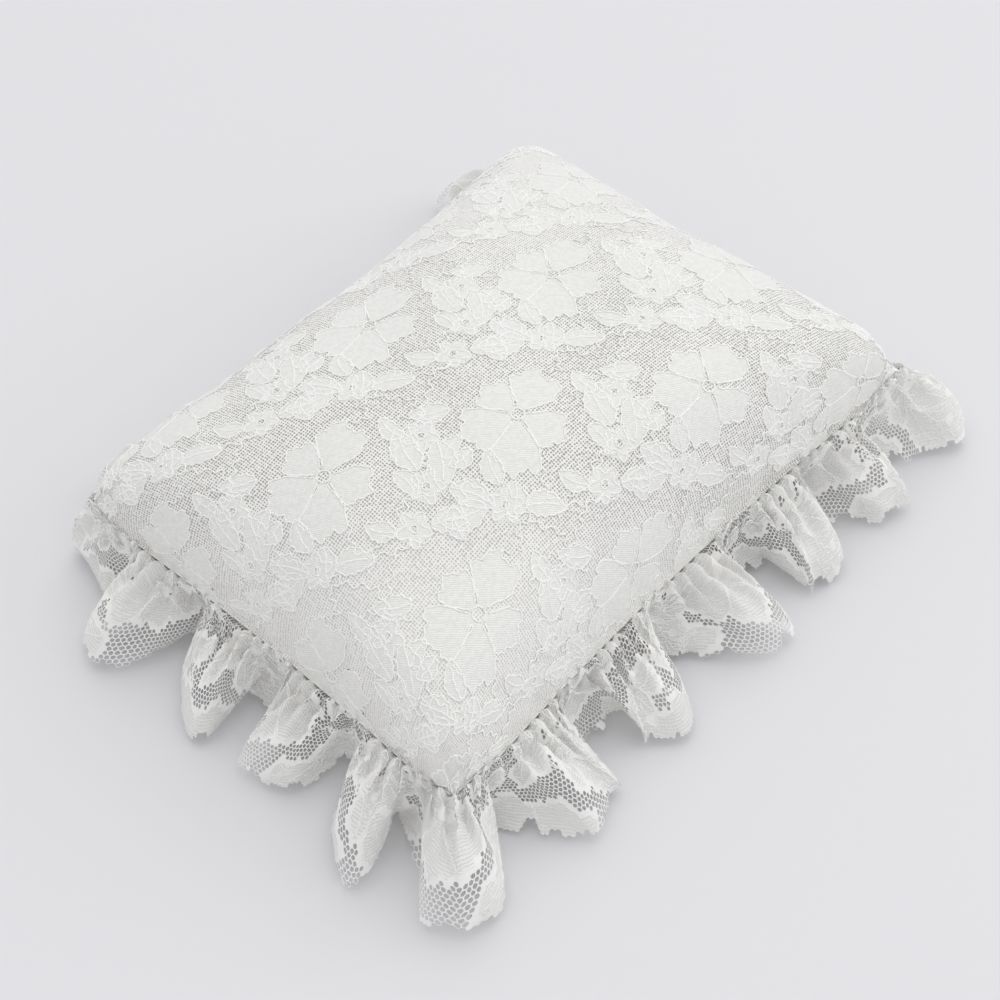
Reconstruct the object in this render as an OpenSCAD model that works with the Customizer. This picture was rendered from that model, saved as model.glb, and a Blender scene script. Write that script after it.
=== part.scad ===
// Ring bearer pillow: a stuffed rectangular satin cushion with a lace top and a gathered lace ruffle.
// Millimetres. +X runs along the long side, +Y along the short side, +Z is up.
// The origin is on the surface that the pillow lies on, below its middle.

/* [Pillow] */
// Seam to seam length between two corners, along X
pillow_l = 200; // [160:5:260]
// Seam to seam width between two corners, along Y
pillow_w = 150; // [120:5:200]
// Height of the stuffed crown above the surface it lies on
pillow_h = 72; // [60:1:84]
// How far the middle of each long side is pulled in by the stuffing
pinch_long = 7; // [3:0.5:12]
// How far the middle of each short side is pulled in by the stuffing
pinch_short = 5; // [3:0.5:10]
// Height of the seam at the middle of a side
seam_mid_h = 23; // [19:1:28]
// Height of the seam at a corner
seam_corner_h = 29; // [20:1:32]

/* [Fabric] */
// Thickness of the satin panels
satin_t = 0.4; // [0.3:0.1:0.8]
// Thickness of the lace laid over the top panel
lace_t = 0.5; // [0.4:0.1:0.9]

/* [Ruffle] */
// Horizontal reach of the ruffle from the seam
ruffle_reach = 20; // [16:1:26]
// Thickness of the ruffle's lace
ruffle_t = 0.8; // [0.6:0.1:1]
// Number of gathered folds round the pillow
fold_count = 20; // [16:1:26]
// How far a fold's crest and valley stand from the middle of the ruffle, at the hem
fold_amp = 7; // [3:0.5:8]
// Mean height of the hem above the surface
hem_h = 6.5; // [6.5:0.5:9]

/* [Thread] */
// Radius of the sewing thread
thread_r = 0.25; // [0.2:0.05:0.35]
// Number of hand stitches that close the stuffing gap
closing_count = 14; // [8:1:18]
// Length of the closed stuffing gap
closing_l = 56; // [40:2:70]

/* [Hidden] */

satin_white = [0.93, 0.92, 0.89];
lace_white = [0.90, 0.90, 0.87];
ruffle_white = [0.86, 0.86, 0.84];
fill_white = [0.97, 0.97, 0.96];
thread_white = [0.95, 0.94, 0.90];

// The panels part by this much at the seam, to take the heading of the ruffle
seam_gap = ruffle_t + 0.6;
half_l = pillow_l / 2;
half_w = pillow_w / 2;
cover_t = satin_t + lace_t;
crown_h = pillow_h - cover_t - seam_gap / 2 - seam_mid_h;
// How full the top's sides are: 1 is an ellipse, and less is steeper beside the seam
crown_power = 0.65;
// The belly would bulge this far below the seam if nothing held the pillow up
belly_h = 33;
belly_power = 0.9;
// Grid steps over half of the long and the short side
long_steps = 13;
short_steps = 10;

// Ruffle and thread meshes
stations_per_fold = 12;
ruffle_rows = 8;
ruffle_stations = fold_count * stations_per_fold;
heading_clear = 0.3;
// Length of seam next to a corner over which the ruffle turns to the next side
corner_turn = 26;
// Further reach of the ruffle at a corner
corner_extra = 8;
thread_stations = 96;
thread_sides = 6;
join_rows = 20;
// Place of the join between the ruffle's ends, as a part of the way round
join_place = 0.62;

// ---- Shape of the stuffed pillow -------------------------------------------------------------

// a and b run from -1 to 1 over the long and the short side; k is the distance outside the filling
function side_x(a, b, k) = sin(90 * a) * (half_l + k - pinch_short * pow(cos(90 * b), 2));
function side_y(a, b, k) = sin(90 * b) * (half_w + k - pinch_long * pow(cos(90 * a), 2));
function seam_z(p, q) = seam_mid_h + (seam_corner_h - seam_mid_h) * pow(p * q, 2);
function swell(a, b, power) = pow(max(0, cos(90 * a) * cos(90 * b)), power);

function top_point(a, b, k) = [
    side_x(a, b, k),
    side_y(a, b, k),
    seam_z(sin(90 * a), sin(90 * b)) + seam_gap / 2 + (crown_h + k) * swell(a, b, crown_power)
];

// The underside is flat where the pillow's weight presses it on the surface
function bottom_point(a, b, k) = [
    side_x(a, b, k),
    side_y(a, b, k),
    max(
        satin_t - k,
        seam_z(sin(90 * a), sin(90 * b)) - seam_gap / 2 - (belly_h + k) * swell(a, b, belly_power)
    )
];

function top_grid(k) = [
    for (i = [-long_steps : long_steps], j = [-short_steps : short_steps])
        top_point(i / long_steps, j / short_steps, k)
];

function bottom_grid(k) = [
    for (i = [-long_steps : long_steps], j = [-short_steps : short_steps])
        bottom_point(i / long_steps, j / short_steps, k)
];

// ---- Path of the seam ------------------------------------------------------------------------

round_l = 2 * (pillow_l + pillow_w);
// Distance along the seam path, from the corner at -X -Y, at which each side starts
side_starts = [0, pillow_l, pillow_l + pillow_w, 2 * pillow_l + pillow_w];
side_lengths = [pillow_l, pillow_w, pillow_l, pillow_w];

function wrap(s) = s - floor(s);
function side_of(d) = d < side_starts[1] ? 0 : d < side_starts[2] ? 1 : d < side_starts[3] ? 2 : 3;

// Place along a side, from -1 at its first corner to 1 at its last
function side_place(d) = 2 * (d - side_starts[side_of(d)]) / side_lengths[side_of(d)] - 1;

// Point of the seam, s being the part of the way round
function seam_point(s) =
    let (d = wrap(s) * round_l, n = side_of(d), q = side_place(d))
    let (pinch = (n % 2 == 0 ? pinch_long : pinch_short) * (1 - q * q))
    let (z = seam_mid_h + (seam_corner_h - seam_mid_h) * q * q)
    n == 0 ? [q * half_l, -(half_w - pinch), z] :
    n == 1 ? [half_l - pinch, q * half_w, z] :
    n == 2 ? [-q * half_l, half_w - pinch, z] :
    [-(half_l - pinch), -q * half_w, z];

// Turn towards the corner's diagonal: 0 on the side, 1 at the corner
function corner_near(s) =
    let (d = wrap(s) * round_l, n = side_of(d), q = side_place(d))
    let (away = (1 - abs(q)) * side_lengths[n] / 2)
    pow(max(0, 1 - away / corner_turn), 1.5);

// Outward direction, as an angle about +Z
function outward_angle(s) =
    let (d = wrap(s) * round_l, n = side_of(d), q = side_place(d))
    90 * n - 90 + sign(q) * 45 * corner_near(s);

function outward(s) = [cos(outward_angle(s)), sin(outward_angle(s)), 0];

// ---- Shape of the ruffle ---------------------------------------------------------------------

// Middle surface of the ruffle: t runs from 0 at the heading to 1 at the hem
function ruffle_middle(s, t) =
    let (base = seam_point(s), out = outward(s))
    let (reach = ruffle_reach + corner_extra * corner_near(s))
    let (wave = fold_amp * sin(360 * fold_count * s) * pow(t, 0.8) * 0.7)
    let (along = heading_clear + reach * (1 - pow(1 - t, 1.4)))
    let (drop = (base[2] - hem_h) * pow(t, 1.7))
    base + out * (along + wave) + [0, 0, wave - drop];

function ruffle_normal(s, t) =
    let (ds = 0.1 / ruffle_stations, dt = 0.02)
    let (ahead = ruffle_middle(s + ds, t) - ruffle_middle(s - ds, t))
    let (across = ruffle_middle(s, min(1, t + dt)) - ruffle_middle(s, max(0, t - dt)))
    let (n = cross(across, ahead))
    n / norm(n);

// The heading lies flat between the panels, and the rest follows the folds
function ruffle_point(s, t, offset) =
    let (flat = max(0, 1 - t * ruffle_rows))
    ruffle_middle(s, t) + offset * (flat * [0, 0, 1] + (1 - flat) * ruffle_normal(s, t));

function ruffle_rows_at(s, offset, from, to) = [
    for (r = [from : sign(to - from) : to]) ruffle_point(s, r / ruffle_rows, offset)
];

// Section of the ruffle's closed sheet: out along its face and back along its underside
function ruffle_section(s) = concat(
    ruffle_rows_at(s, ruffle_t / 2, 0, ruffle_rows),
    ruffle_rows_at(s, -ruffle_t / 2, ruffle_rows, 0)
);

// ---- Meshes ----------------------------------------------------------------------------------

function flat_list(lists) = [for (list = lists) for (item = list) item];

// Closed sheet between two grids of the same size, the outer one first
module sheet_between(outer, inner, rows, columns) {
    count = rows * columns;
    function at(i, j) = i * columns + j;
    faces = concat(
        flat_list([for (e = rim_edges(rows, columns)) [
            [e[1], e[0], count + e[0]],
            [e[1], count + e[0], count + e[1]]
        ]]),
        [for (i = [0 : rows - 2], j = [0 : columns - 2]) [at(i, j), at(i, j + 1), at(i + 1, j + 1)]],
        [for (i = [0 : rows - 2], j = [0 : columns - 2]) [at(i, j), at(i + 1, j + 1), at(i + 1, j)]],
        [for (i = [0 : rows - 2], j = [0 : columns - 2])
            [count + at(i, j), count + at(i + 1, j + 1), count + at(i, j + 1)]],
        [for (i = [0 : rows - 2], j = [0 : columns - 2])
            [count + at(i, j), count + at(i + 1, j), count + at(i + 1, j + 1)]]
    );
    polyhedron(concat(outer, inner), faces, convexity = 4);
}

// Edges round a grid, in the direction that its face runs
function rim_edges(rows, columns) = concat(
    [for (j = [0 : columns - 2]) [j, j + 1]],
    [for (i = [0 : rows - 2]) [i * columns + columns - 1, (i + 1) * columns + columns - 1]],
    [for (j = [columns - 1 : -1 : 1]) [(rows - 1) * columns + j, (rows - 1) * columns + j - 1]],
    [for (i = [rows - 1 : -1 : 1]) [i * columns, (i - 1) * columns]]
);

// Closed ring of equal sections, each a list of points
module ring_of(sections) {
    n = len(sections);
    m = len(sections[0]);
    function at(i, j) = (i % n) * m + j % m;
    faces = flat_list([for (i = [0 : n - 1], j = [0 : m - 1]) [
        [at(i, j), at(i, j + 1), at(i + 1, j + 1)],
        [at(i, j), at(i + 1, j + 1), at(i + 1, j)]
    ]]);
    polyhedron(flat_list(sections), faces, convexity = 8);
}

// Open tube of equal sections, closed by a flat face at each end
module tube_of(sections) {
    n = len(sections);
    m = len(sections[0]);
    function at(i, j) = i * m + j % m;
    faces = concat(
        flat_list([for (i = [0 : n - 2], j = [0 : m - 1]) [
            [at(i, j), at(i, j + 1), at(i + 1, j + 1)],
            [at(i, j), at(i + 1, j + 1), at(i + 1, j)]
        ]]),
        [[for (j = [m - 1 : -1 : 0]) j]],
        [[for (j = [0 : m - 1]) (n - 1) * m + j]]
    );
    polyhedron(flat_list(sections), faces, convexity = 4);
}

// Section of a thread that runs along the seam, k outside it and lift above it
function thread_section(s, k, lift) =
    let (centre = seam_point(s) + outward(s) * k + [0, 0, lift])
    [for (j = [0 : thread_sides - 1])
        let (angle = 360 * j / thread_sides)
        centre + thread_r * (cos(angle) * outward(s) + [0, 0, sin(angle)])];

// Section of the thread that joins the ruffle's two ends, on the ruffle's underside
function join_section(t) =
    let (centre = ruffle_point(join_place, t, -(ruffle_t / 2 + thread_r + 0.1)))
    let (along = [-sin(outward_angle(join_place)), cos(outward_angle(join_place)), 0])
    let (down = ruffle_normal(join_place, t))
    [for (j = [0 : thread_sides - 1])
        let (angle = 360 * j / thread_sides)
        centre + thread_r * (cos(angle) * along + sin(angle) * down)];

// A straight stitch between two points
module stitch(from, to) {
    way = to - from;
    translate(from)
        rotate([0, acos(way[2] / norm(way)), atan2(way[1], way[0])])
            cylinder(h = norm(way), r = thread_r, $fn = 24);
}

// ---- Sub-parts -------------------------------------------------------------------------------

rows = 2 * long_steps + 1;
columns = 2 * short_steps + 1;

// Polyester fibre filling, as one soft block
module fibre_fill() {
    color(fill_white)
        sheet_between(top_grid(0), bottom_grid(0), rows, columns);
}

// Satin panel of the top
module satin_top_panel() {
    color(satin_white)
        sheet_between(top_grid(satin_t), top_grid(0), rows, columns);
}

// Satin panel of the underside, with the flat patch that the pillow lies on
module satin_bottom_panel() {
    color(satin_white)
        sheet_between(bottom_grid(0), bottom_grid(satin_t), rows, columns);
}

// Floral lace laid over the top panel and sewn into the same seam
module lace_overlay() {
    color(lace_white)
        sheet_between(top_grid(cover_t), top_grid(satin_t), rows, columns);
}

// Lace strip, joined end to end and gathered into folds, that hangs from the seam to the surface
module lace_ruffle() {
    color(ruffle_white)
        ring_of([for (i = [0 : ruffle_stations - 1]) ruffle_section(i / ruffle_stations)]);
}

// Running thread that gathers the ruffle, on the underside of its heading
module gathering_thread() {
    color(thread_white)
        ring_of([for (i = [0 : thread_stations - 1])
            thread_section(i / thread_stations, cover_t + 2 * thread_r, -ruffle_t)]);
}

// Lockstitch thread of the seam round the pillow, in the crease above the ruffle
module seam_thread() {
    color(thread_white)
        ring_of([for (i = [0 : thread_stations - 1])
            thread_section(i / thread_stations, cover_t + 2 * thread_r, ruffle_t)]);
}

// Slanted hand stitches over the closed stuffing gap, under the ruffle on the +Y side
module closing_stitches() {
    pitch = closing_l / closing_count;
    k = satin_t + thread_r + 0.05;
    color(thread_white)
        for (i = [0 : closing_count - 1]) {
            x = (i - (closing_count - 1) / 2) * pitch;
            stitch(
                bottom_point(asin((x - pitch / 4) / half_l) / 90, 0.93, k),
                bottom_point(asin((x + pitch / 4) / half_l) / 90, 0.985, k)
            );
        }
}

// Thread of the short seam that joins the ruffle's two ends
module ruffle_join_thread() {
    color(thread_white)
        tube_of([for (r = [1 : join_rows - 1]) join_section(r / join_rows)]);
}

fibre_fill();
satin_top_panel();
satin_bottom_panel();
lace_overlay();
lace_ruffle();
gathering_thread();
seam_thread();
closing_stitches();
ruffle_join_thread();
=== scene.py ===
import itertools
import math

import bpy
import numpy as np
from mathutils import Matrix, Vector


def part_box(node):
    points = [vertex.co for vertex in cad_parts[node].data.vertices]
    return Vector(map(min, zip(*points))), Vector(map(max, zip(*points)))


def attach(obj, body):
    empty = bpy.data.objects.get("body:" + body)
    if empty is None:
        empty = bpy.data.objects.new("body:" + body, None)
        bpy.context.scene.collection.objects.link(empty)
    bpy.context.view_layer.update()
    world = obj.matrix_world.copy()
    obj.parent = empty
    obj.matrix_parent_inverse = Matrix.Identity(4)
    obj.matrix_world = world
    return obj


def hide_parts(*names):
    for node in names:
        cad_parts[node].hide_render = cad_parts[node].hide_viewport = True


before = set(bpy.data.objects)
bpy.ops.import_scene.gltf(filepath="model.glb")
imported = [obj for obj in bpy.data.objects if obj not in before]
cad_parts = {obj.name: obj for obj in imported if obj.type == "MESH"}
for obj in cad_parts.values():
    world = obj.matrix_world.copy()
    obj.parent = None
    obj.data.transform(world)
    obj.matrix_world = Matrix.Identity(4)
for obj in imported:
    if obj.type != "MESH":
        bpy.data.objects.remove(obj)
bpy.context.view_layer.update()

# The soft shapes below are worked out in millimetres, and new_mesh() turns them into metres.
MM = 0.001

# ---- Sizes of the pillow ----

HALF_L, HALF_W, FILL_TOP = np.array(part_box("fibre_fill")[1]) / MM
SATIN_T = 0.4
LACE_T = 0.5

# The seam: its height in the middle of a side and at a corner, and how far each side is drawn in
SEAM_GAP = 1.4
SEAM_MID = 23.0
SEAM_CORNER = 29.0
PINCH_LONG = 7.0
PINCH_SHORT = 5.0

# How far the cover swells above and below the seam, and how full that swell is
CROWN = FILL_TOP - SEAM_MID - SEAM_GAP / 2
CROWN_POWER = 0.65
BELLY = 33.0
BELLY_POWER = 0.9

# The stuffed pillow lies a little out of square: how far each corner is moved, by the signs of x and y
CORNER_SHIFT = {(-1, 1): (0, 0), (1, -1): (4, -4), (1, 1): (0, 2), (-1, -1): (-1, -1)}

# Lace strip of the ruffle, before it was gathered, and the share of the seam at which its ends join
STRIP_LENGTH = 1250.0
STRIP_WIDTH = 32.0
JOIN_PLACE = 0.62

rng = np.random.default_rng(20)


def smooth(low, high, value):
    """0 at low and 1 at high, with a smooth turn at both."""
    x = np.clip((value - low) / (high - low), 0, 1)
    return x * x * (3 - 2 * x)


def unit(vectors):
    return vectors / np.maximum(np.linalg.norm(vectors, axis=-1, keepdims=True), 1e-9)


# ---- Shape of the stuffed pillow ----


def pillow_points(a, b, out, upper, gap=SEAM_GAP):
    """Points of the cover, out millimetres outside the filling; a and b run from -1 to 1."""
    sin_a, cos_a = np.sin(a * math.pi / 2), np.cos(a * math.pi / 2)
    sin_b, cos_b = np.sin(b * math.pi / 2), np.cos(b * math.pi / 2)
    x = sin_a * (HALF_L + out - PINCH_SHORT * cos_b**2)
    y = sin_b * (HALF_W + out - PINCH_LONG * cos_a**2)
    seam = SEAM_MID + (SEAM_CORNER - SEAM_MID) * (sin_a * sin_b) ** 2
    swell = np.clip(cos_a * cos_b, 0, 1)
    if upper:
        z = seam + gap / 2 + (CROWN + out) * swell**CROWN_POWER
    else:
        z = np.maximum(SATIN_T - out, seam - gap / 2 - (BELLY + out) * swell**BELLY_POWER)
    return np.stack([x, y, z], -1)


# How far the stuffing draws each corner in, and from which part of a side on
CORNER_TUCK = 2.2
TUCK_FROM = 0.8


def out_of_square(points):
    """Moves the corners as the real pillow lies; points between them move in proportion."""
    p = np.clip(points[..., 0] / HALF_L, -1, 1)
    q = np.clip(points[..., 1] / HALF_W, -1, 1)
    moved = points.copy()
    tuck = CORNER_TUCK * smooth(TUCK_FROM, 1, np.abs(p)) * smooth(TUCK_FROM, 1, np.abs(q))
    moved[..., 0] -= np.sign(p) * tuck
    moved[..., 1] -= np.sign(q) * tuck
    for (sign_x, sign_y), shift in CORNER_SHIFT.items():
        share = (1 + sign_x * p) * (1 + sign_y * q) / 4
        moved[..., 0] += share * shift[0]
        moved[..., 1] += share * shift[1]
    return moved


# ---- Meshes ----


def place_in_scene(name, data, matrix=Matrix.Identity(4)):
    placed = bpy.data.objects.new(name, data)
    placed.matrix_world = matrix
    bpy.context.scene.collection.objects.link(placed)
    return placed


def new_mesh(name, points, faces):
    """An object from points in millimetres and faces of three, four or more corners."""
    mesh = bpy.data.meshes.new(name)
    mesh.from_pydata((points * MM).tolist(), [], faces)
    mesh.validate()
    mesh.shade_smooth()
    return place_in_scene(name, mesh)


def set_attribute(piece, name, values):
    """Stores one number, or one vector, for each point of the mesh."""
    kind = "FLOAT" if values.ndim == 1 else "FLOAT_VECTOR"
    field = "value" if values.ndim == 1 else "vector"
    attribute = piece.data.attributes.new(name, kind, "POINT")
    attribute.data.foreach_set(field, values.astype(np.float32).ravel())


def grid_faces(rows, columns, start=0, flip=False):
    """Four-cornered faces of a grid of points, stored row by row."""
    corner = start + (np.arange(rows - 1)[:, None] * columns + np.arange(columns - 1)).ravel()
    quads = np.stack([corner, corner + columns, corner + columns + 1, corner + 1], -1)
    return (quads[:, ::-1] if flip else quads).tolist()


def rim_of(rows, columns):
    """Indices of the points round the edge of a grid, in order."""
    index = np.arange(rows * columns).reshape(rows, columns)
    sides = [index[0, :-1], index[:-1, -1], index[-1, :0:-1], index[:0:-1, 0]]
    return np.concatenate(sides).tolist()


def closed_sheet(name, outer, inner):
    """A closed sheet between two grids of points of the same size."""
    rows, columns = outer.shape[:2]
    count = rows * columns
    rim = rim_of(rows, columns)
    edges = zip(rim, rim[1:] + rim[:1])
    faces = grid_faces(rows, columns) + grid_faces(rows, columns, count, flip=True)
    faces += [[e, s, s + count, e + count] for s, e in edges]
    return new_mesh(name, np.concatenate([outer.reshape(-1, 3), inner.reshape(-1, 3)]), faces)


class Surface:
    """A smooth surface through a grid of points, read at fractional places of the grid."""

    def __init__(self, grid):
        rows, columns = grid.shape[:2]
        self.rows, self.columns = rows, columns
        padded = np.empty((rows + 2, columns + 2, 3))
        padded[1:-1, 1:-1] = grid
        padded[0, 1:-1] = 2 * grid[0] - grid[1]
        padded[-1, 1:-1] = 2 * grid[-1] - grid[-2]
        padded[:, 0] = 2 * padded[:, 1] - padded[:, 2]
        padded[:, -1] = 2 * padded[:, -2] - padded[:, -3]
        self.padded = padded

    @staticmethod
    def weights(t):
        return (
            (-t + 2 * t**2 - t**3) / 2,
            (2 - 5 * t**2 + 3 * t**3) / 2,
            (t + 4 * t**2 - 3 * t**3) / 2,
            (t**3 - t**2) / 2,
        )

    def at(self, i, j):
        i = np.clip(i, 0, self.rows - 1)
        j = np.clip(j, 0, self.columns - 1)
        row = np.minimum(i.astype(int), self.rows - 2)
        column = np.minimum(j.astype(int), self.columns - 2)
        result = 0
        for di, wi in enumerate(self.weights(i - row)):
            for dj, wj in enumerate(self.weights(j - column)):
                result = result + (wi * wj)[..., None] * self.padded[row + di, column + dj]
        return result

    def normal(self, i, j, step=0.2):
        along = self.at(i + step, j) - self.at(i - step, j)
        across = self.at(i, j + step) - self.at(i, j - step)
        return unit(np.cross(along, across))


def tube_mesh(name, paths, radius, sides=5, flatten=1.0):
    """One mesh of many threads. A path is its points, the normals beside them and the widths."""
    points, faces, start = [], [], 0
    turn = np.arange(sides) * 2 * math.pi / sides
    for path, normals, widths in paths:
        tangent = unit(np.gradient(path, axis=0))
        side = unit(np.cross(tangent, normals))
        up = np.cross(side, tangent)
        ring = np.cos(turn)[:, None] * side[:, None] + flatten * np.sin(turn)[:, None] * up[:, None]
        stations = len(path)
        points.append((path[:, None] + radius * widths[:, None, None] * ring).reshape(-1, 3))
        base = start + np.arange(stations - 1)[:, None] * sides
        here = base + np.arange(sides)
        following = base + (np.arange(sides) + 1) % sides
        quads = np.stack([here, following, following + sides, here + sides], -1)
        faces += quads.reshape(-1, 4).tolist()
        faces.append(list(range(start + sides - 1, start - 1, -1)))
        faces.append(list(range(start + (stations - 1) * sides, start + stations * sides)))
        start += stations * sides
    return new_mesh(name, np.concatenate(points), faces)


# ---- Cloth simulation ----

# The solver works on a model ten times as large, at which its own margins are small beside the cloth.
SIM_SCALE = 10
CLOTH_MARGIN = 0.004
COLLIDER_FRICTION = 15


def simulate(points, faces, pinned, frames, cloth_settings, gravity, colliders=()):
    """Runs the cloth solver and returns where the points come to lie, in millimetres."""
    cloth = new_mesh("solver_cloth", points * SIM_SCALE, faces)
    group = cloth.vertex_groups.new(name="pinned")
    group.add(pinned, 1.0, "REPLACE")
    modifier = cloth.modifiers.new("cloth", "CLOTH")
    modifier.settings.vertex_group_mass = "pinned"
    for name, value in cloth_settings.items():
        setattr(modifier.settings, name, value)
    modifier.settings.effector_weights.gravity = gravity
    modifier.collision_settings.use_collision = bool(colliders)
    modifier.collision_settings.distance_min = CLOTH_MARGIN
    temporary = [cloth]
    for index, (solid_points, solid_faces) in enumerate(colliders):
        collider = new_mesh(f"solver_collider_{index}", solid_points * SIM_SCALE, solid_faces)
        collider.modifiers.new("collision", "COLLISION")
        collider.collision.thickness_outer = CLOTH_MARGIN
        collider.collision.cloth_friction = COLLIDER_FRICTION
        temporary.append(collider)
    scene = bpy.context.scene
    modifier.point_cache.frame_end = frames
    for number in range(1, frames + 1):
        scene.frame_set(number)
    evaluated = cloth.evaluated_get(bpy.context.evaluated_depsgraph_get())
    result = np.empty(len(points) * 3)
    evaluated.data.vertices.foreach_get("co", result)
    for piece in temporary:
        mesh = piece.data
        bpy.data.objects.remove(piece)
        bpy.data.meshes.remove(mesh)
    scene.frame_set(1)
    return result.reshape(-1, 3) / (SIM_SCALE * MM)


# ---- The cover, stuffed and puckered ----

# Steps over half of the long and the short side of the simulated cover
LONG_STEPS = 64
SHORT_STEPS = 48
COVER_FRAMES = 20
COVER_CLOTH = {
    "quality": 5, "mass": 0.3, "air_damping": 2, "tension_stiffness": 15,
    "compression_stiffness": 15, "shear_stiffness": 5, "bending_stiffness": 0.5,
    "use_pressure": True, "uniform_pressure_force": 4, "shrink_min": -0.035,
}

# No point of the cover moves farther than this while it is stuffed
COVER_CAP = 2.6


def cover_grid(long_steps=LONG_STEPS, short_steps=SHORT_STEPS):
    a = np.linspace(-1, 1, 2 * long_steps + 1)
    b = np.linspace(-1, 1, 2 * short_steps + 1)
    return np.meshgrid(a, b, indexing="ij")


def puckered_cover():
    """How far the cloth of the top and of the underside moves when the pillow is stuffed."""
    a, b = cover_grid()
    rows, columns = a.shape
    top = pillow_points(a, b, 0, True, gap=0).reshape(-1, 3)
    bottom = pillow_points(a, b, 0, False, gap=0).reshape(-1, 3)
    rim = rim_of(rows, columns)
    count = rows * columns
    index = np.arange(2 * count)
    index[count:][rim] = rim
    used, place = np.unique(index, return_inverse=True)
    points = np.concatenate([top, bottom])[used]
    faces = grid_faces(rows, columns) + grid_faces(rows, columns, count, flip=True)
    faces = place[np.array(faces)].tolist()
    moved = simulate(points, faces, rim, COVER_FRAMES, COVER_CLOTH, 0) - points
    length = np.linalg.norm(moved, axis=1, keepdims=True)
    moved *= COVER_CAP * np.tanh(length / COVER_CAP) / np.maximum(length, 1e-6)
    top_move, bottom_move = moved[place].reshape(2, rows, columns, 3)
    return ironed(top_move), ironed(bottom_move)


def ironed(moved):
    """Takes out the creases no wider than the grid's own step; the edge stays where it is."""
    for _ in range(2):
        inner = moved[1:-1, 1:-1]
        inner[:] = inner / 2 + (moved[:-2, 1:-1] + moved[2:, 1:-1]) / 4
        inner[:] = inner / 2 + (moved[1:-1, :-2] + moved[1:-1, 2:]) / 4
    return moved


TOP_MOVE, BOTTOM_MOVE = puckered_cover()


def stuffing_lumps(x, y):
    """Slow rise and fall of the cover over the uneven filling, in millimetres."""
    return (
        0.9 * np.sin(x / 17 + 0.6) * np.sin(y / 14 - 0.9)
        + 0.6 * np.sin(x / 9.5 - y / 13 + 2.1)
        + 0.4 * np.sin(x / 21 + y / 7.3 + 0.4)
    )


PUCKER_DEPTH = 0.75
PUCKER_REACH = 13.0
PUCKER_FADE = 2.2


def seam_puckers(a, b):
    """Small folds that the seam draws into the cover, in millimetres; they die out inwards."""
    total = 0
    for along, across, half_along, half_across in ((a, b, HALF_L, HALF_W), (b, a, HALF_W, HALF_L)):
        place = half_along * np.sin(along * math.pi / 2)
        inward = half_across * (1 - np.abs(across)) * 1.2
        side = np.sign(across)
        wave = np.sin(place / 1.5 + side * 2.0 + 1.7 * np.sin(place / 9.0 + side))
        wave = 0.6 * wave + 0.4 * np.sin(place / 2.7 - side + 1.2 * np.sin(place / 13.0))
        total = total + wave * smooth(0, 2.0, inward) * np.exp(-inward / PUCKER_REACH * PUCKER_FADE)
    return PUCKER_DEPTH * total


def cover_surface(out, upper):
    """The cover's surface, out millimetres outside the filling."""
    a, b = cover_grid()
    points = pillow_points(a, b, out, upper)
    points = points + (TOP_MOVE if upper else BOTTOM_MOVE)
    outward = np.stack([np.sin(a * math.pi / 2) ** 3, np.sin(b * math.pi / 2) ** 3, 0.7 + 0 * a], -1)
    outward[..., 2] *= 1 if upper else -1
    points = points + seam_puckers(a, b)[..., None] * unit(outward)
    if upper:
        fade = smooth(0, 0.5, np.cos(a * math.pi / 2) * np.cos(b * math.pi / 2))
        points[..., 2] += fade * stuffing_lumps(points[..., 0], points[..., 1])
    else:
        points[..., 2] = np.maximum(points[..., 2], SATIN_T - out)
    return Surface(points)


def lengths_along(line):
    return np.concatenate([[0], np.cumsum(np.linalg.norm(np.diff(line, axis=0), axis=1))])


def arc_table(surface, along_rows):
    """Length of cloth from the middle of the panel, at each row or column of its grid."""
    grid = surface.padded[1:-1, 1:-1]
    arc = lengths_along(grid[:, grid.shape[1] // 2] if along_rows else grid[grid.shape[0] // 2])
    return arc - arc[len(arc) // 2]


# ---- Lace pattern ----

# The pattern repeats at these two steps. All sizes here are millimetres of flat lace.
REPEAT = np.array([[48.0, 28.5], [48.0, -28.5]])
PATTERN_START = np.array([-17.0, -23.0])

# Petals of the large blossom: direction in degrees, reach, half angle in degrees
PETALS = [
    (17, 16.6, 35.5), (88, 12.9, 34.5), (157, 16.6, 34.5), (221, 17.8, 31.5), (290, 13.8, 36.5),
]
BLOSSOM_EYE = 1.9

# Small flowers: x, y, turn in degrees
SMALL_FLOWERS = [(25.5, -13.0, 10), (26.0, 13.5, 40), (-33.0, 4.0, 25), (4.0, 27.5, 12)]
SMALL_PETAL_AT = 3.1
SMALL_PETAL_R = 2.2
SMALL_EYE = 1.1

# Leaves: x and y of the stalk, direction in degrees, length, half width
LEAVES = [
    (27.0, -17.5, 228, 15.0, 3.9), (22.0, -9.5, 84, 9.5, 2.9), (30.0, 9.5, 318, 12.0, 3.4),
    (22.0, 17.0, 150, 14.0, 3.8), (29.0, 18.0, 62, 10.5, 3.1), (-31.0, 9.0, 66, 15.0, 3.9),
    (-29.0, -1.0, 290, 13.5, 3.5), (-24.0, 5.5, 8, 8.5, 2.6), (8.0, 24.5, 322, 11.0, 3.0),
    (0.0, 30.5, 118, 9.0, 2.8), (-11.0, 15.5, 138, 11.5, 3.3), (11.5, 15.5, 62, 9.5, 2.8),
    (-15.5, -13.0, 214, 10.5, 3.1), (12.5, -15.0, 262, 9.5, 2.8), (-17.0, 2.0, 172, 8.0, 2.5),
]
LEAF_TEETH = 5
LEAF_BEND = 0.9

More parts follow.
